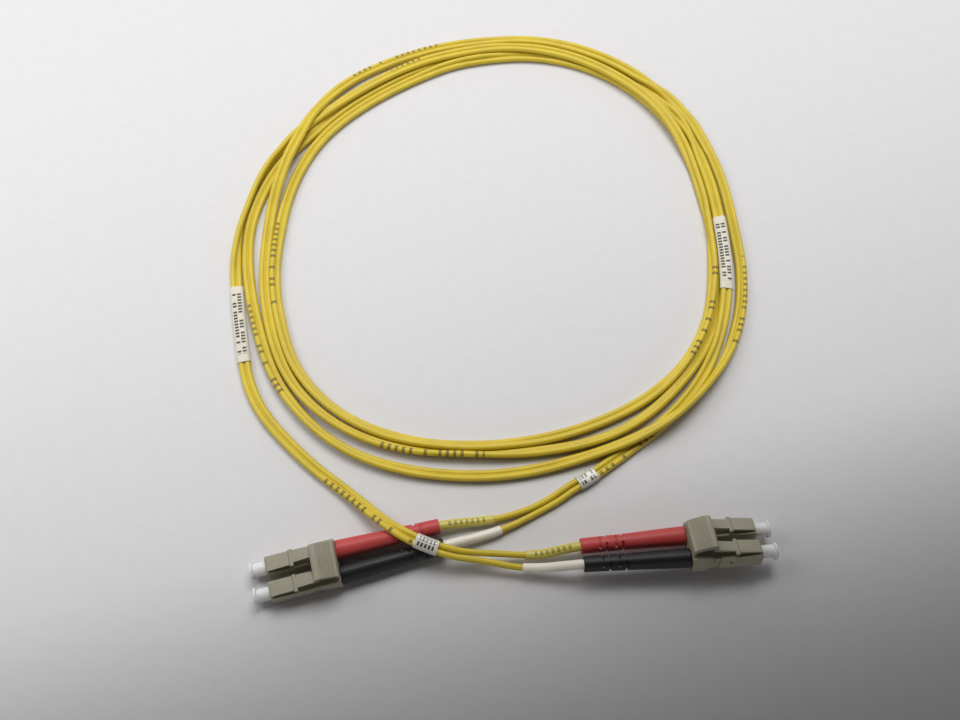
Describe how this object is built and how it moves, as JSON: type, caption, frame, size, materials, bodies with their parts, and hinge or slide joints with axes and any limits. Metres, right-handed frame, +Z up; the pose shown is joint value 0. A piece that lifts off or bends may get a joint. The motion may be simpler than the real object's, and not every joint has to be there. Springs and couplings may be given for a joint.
{
  "type": "fiber optic patch cord",
  "caption": "Flat coil of yellow duplex zipcord ending in paired beige LC plugs with coloured boots, joining clips, ribbed triggers and clear dust caps.",
  "frame": {"origin": "centre of the coil's footprint on the surface it lies on", "axes": "+Z up from the surface, +Y from the plug side towards the far side of the coil, +X to the right along the duplex plugs' row"},
  "size_m": [0.1483, 0.1826, 0.0118],
  "materials": {
    "plug_beige": "satin",
    "clip_beige": "satin",
    "zirconia": "polished",
    "nickel": "satin",
    "spring_steel": "drawn wire",
    "ptfe_white": "satin",
    "crimp_metal": "satin",
    "boot_red": "satin",
    "boot_black": "satin",
    "shrink_yellow": "satin",
    "shrink_white": "satin",
    "jacket_yellow": "satin",
    "glass": "clear",
    "buffer_white": "gloss",
    "aramid": "stranded",
    "marker_clear": "clear",
    "label_white": "matte",
    "cap_clear": "frosted translucent"
  },
  "bodies": {
    "cord": {"front_housing_red_a": "plug_beige", "ferrule_spring_red_a": "spring_steel", "rear_body_red_a": "plug_beige", "guide_tube_red_a": "ptfe_white", "crimp_sleeve_red_a": "crimp_metal", "boot_red_a": "boot_red", "heat_shrink_red_a": "shrink_yellow", "front_housing_black_a": "plug_beige", "ferrule_spring_black_a": "spring_steel", "rear_body_black_a": "plug_beige", "guide_tube_black_a": "ptfe_white", "crimp_sleeve_black_a": "crimp_metal", "boot_black_a": "boot_black", "heat_shrink_black_a": "shrink_white", "front_housing_red_b": "plug_beige", "ferrule_spring_red_b": "spring_steel", "rear_body_red_b": "plug_beige", "guide_tube_red_b": "ptfe_white", "crimp_sleeve_red_b": "crimp_metal", "boot_red_b": "boot_red", "heat_shrink_red_b": "shrink_yellow", "front_housing_black_b": "plug_beige", "ferrule_spring_black_b": "spring_steel", "rear_body_black_b": "plug_beige", "guide_tube_black_b": "ptfe_white", "crimp_sleeve_black_b": "crimp_metal", "boot_black_b": "boot_black", "heat_shrink_black_b": "shrink_white", "zipcord_jacket_red": "jacket_yellow", "glass_fiber_red": "glass", "tight_buffer_red": "buffer_white", "aramid_yarn_red": "aramid", "zipcord_jacket_black": "jacket_yellow", "glass_fiber_black": "glass", "tight_buffer_black": "buffer_white", "aramid_yarn_black": "aramid", "marker_sleeve_a": "marker_clear", "marker_sleeve_b": "marker_clear", "wrap_label_a": "label_white", "wrap_label_b": "label_white"},
    "ferrule_red_a": {"ferrule_red_a": "zirconia", "ferrule_flange_red_a": "nickel"},
    "latch_red_a": {"latch_lever_red_a": "plug_beige"},
    "cap_red_a": {"dust_cap_red_a": "cap_clear"},
    "ferrule_black_a": {"ferrule_black_a": "zirconia", "ferrule_flange_black_a": "nickel"},
    "latch_black_a": {"latch_lever_black_a": "plug_beige"},
    "cap_black_a": {"dust_cap_black_a": "cap_clear"},
    "clip_a": {"duplex_clip_a": "clip_beige"},
    "trigger_a": {"clip_trigger_a": "clip_beige"},
    "ferrule_red_b": {"ferrule_red_b": "zirconia", "ferrule_flange_red_b": "nickel"},
    "latch_red_b": {"latch_lever_red_b": "plug_beige"},
    "cap_red_b": {"dust_cap_red_b": "cap_clear"},
    "ferrule_black_b": {"ferrule_black_b": "zirconia", "ferrule_flange_black_b": "nickel"},
    "latch_black_b": {"latch_lever_black_b": "plug_beige"},
    "cap_black_b": {"dust_cap_black_b": "cap_clear"},
    "clip_b": {"duplex_clip_b": "clip_beige"},
    "trigger_b": {"clip_trigger_b": "clip_beige"}
  },
  "joints": [
    {"name": "ferrule_push_red_a", "type": "slide", "parent": "cord", "child": "ferrule_red_a", "axis": [0.9677, 0.2521, 0], "range_m": [0, 0.001], "deforming": ["ferrule_spring_red_a"]},
    {"name": "latch_flex_red_a", "type": "hinge", "parent": "cord", "child": "latch_red_a", "pos_m": [-0.05413, -0.08204, 0.00526], "axis": [-0.2521, 0.9677, 0], "range_deg": [0, 5.5]},
    {"name": "cap_pull_red_a", "type": "slide", "parent": "cord", "child": "cap_red_a", "axis": [-0.9677, -0.2521, 0], "range_m": [0, 0.012]},
    {"name": "ferrule_push_black_a", "type": "slide", "parent": "cord", "child": "ferrule_black_a", "axis": [0.9677, 0.2521, 0], "range_m": [0, 0.001], "deforming": ["ferrule_spring_black_a"]},
    {"name": "latch_flex_black_a", "type": "hinge", "parent": "cord", "child": "latch_black_a", "pos_m": [-0.05256, -0.08809, 0.00526], "axis": [-0.2521, 0.9677, 0], "range_deg": [0, 5.5]},
    {"name": "cap_pull_black_a", "type": "slide", "parent": "cord", "child": "cap_black_a", "axis": [-0.9677, -0.2521, 0], "range_m": [0, 0.012]},
    {"name": "clip_lift_a", "type": "slide", "parent": "cord", "child": "clip_a", "axis": [0, 0, 1], "range_m": [0, 0.006]},
    {"name": "trigger_press_a", "type": "hinge", "parent": "clip_a", "child": "trigger_a", "pos_m": [-0.03772, -0.081, 0.00597], "axis": [0.2521, -0.9677, 0], "range_deg": [0, 12]},
    {"name": "ferrule_push_red_b", "type": "slide", "parent": "cord", "child": "ferrule_red_b", "axis": [-0.9968, -0.0802, 0], "range_m": [0, 0.001], "deforming": ["ferrule_spring_red_b"]},
    {"name": "latch_flex_red_b", "type": "hinge", "parent": "cord", "child": "latch_red_b", "pos_m": [0.06467, -0.07229, 0.00577], "axis": [0.0763, -0.948, 0.309], "range_deg": [0, 5.5]},
    {"name": "cap_pull_red_b", "type": "slide", "parent": "cord", "child": "cap_red_b", "axis": [0.9968, 0.0802, 0], "range_m": [0, 0.012]},
    {"name": "ferrule_push_black_b", "type": "slide", "parent": "cord", "child": "ferrule_black_b", "axis": [-0.9968, -0.0802, 0], "range_m": [0, 0.001], "deforming": ["ferrule_spring_black_b"]},
    {"name": "latch_flex_black_b", "type": "hinge", "parent": "cord", "child": "latch_black_b", "pos_m": [0.06515, -0.07822, 0.00771], "axis": [0.0763, -0.948, 0.309], "range_deg": [0, 5.5]},
    {"name": "cap_pull_black_b", "type": "slide", "parent": "cord", "child": "cap_black_b", "axis": [0.9968, 0.0802, 0], "range_m": [0, 0.012]},
    {"name": "clip_lift_b", "type": "slide", "parent": "cord", "child": "clip_b", "axis": [-0.0248, 0.308, 0.9511], "range_m": [0, 0.006]},
    {"name": "trigger_press_b", "type": "hinge", "parent": "clip_b", "child": "trigger_b", "pos_m": [0.0488, -0.07633, 0.00742], "axis": [-0.0763, 0.948, -0.309], "range_deg": [0, 12]}
  ],
  "couplings": [
    {"joint": "latch_flex_red_a", "follows": "trigger_press_a", "ratio": 0.45833},
    {"joint": "latch_flex_black_a", "follows": "trigger_press_a", "ratio": 0.45833},
    {"joint": "latch_flex_red_b", "follows": "trigger_press_b", "ratio": 0.45833},
    {"joint": "latch_flex_black_b", "follows": "trigger_press_b", "ratio": 0.45833}
  ]
}
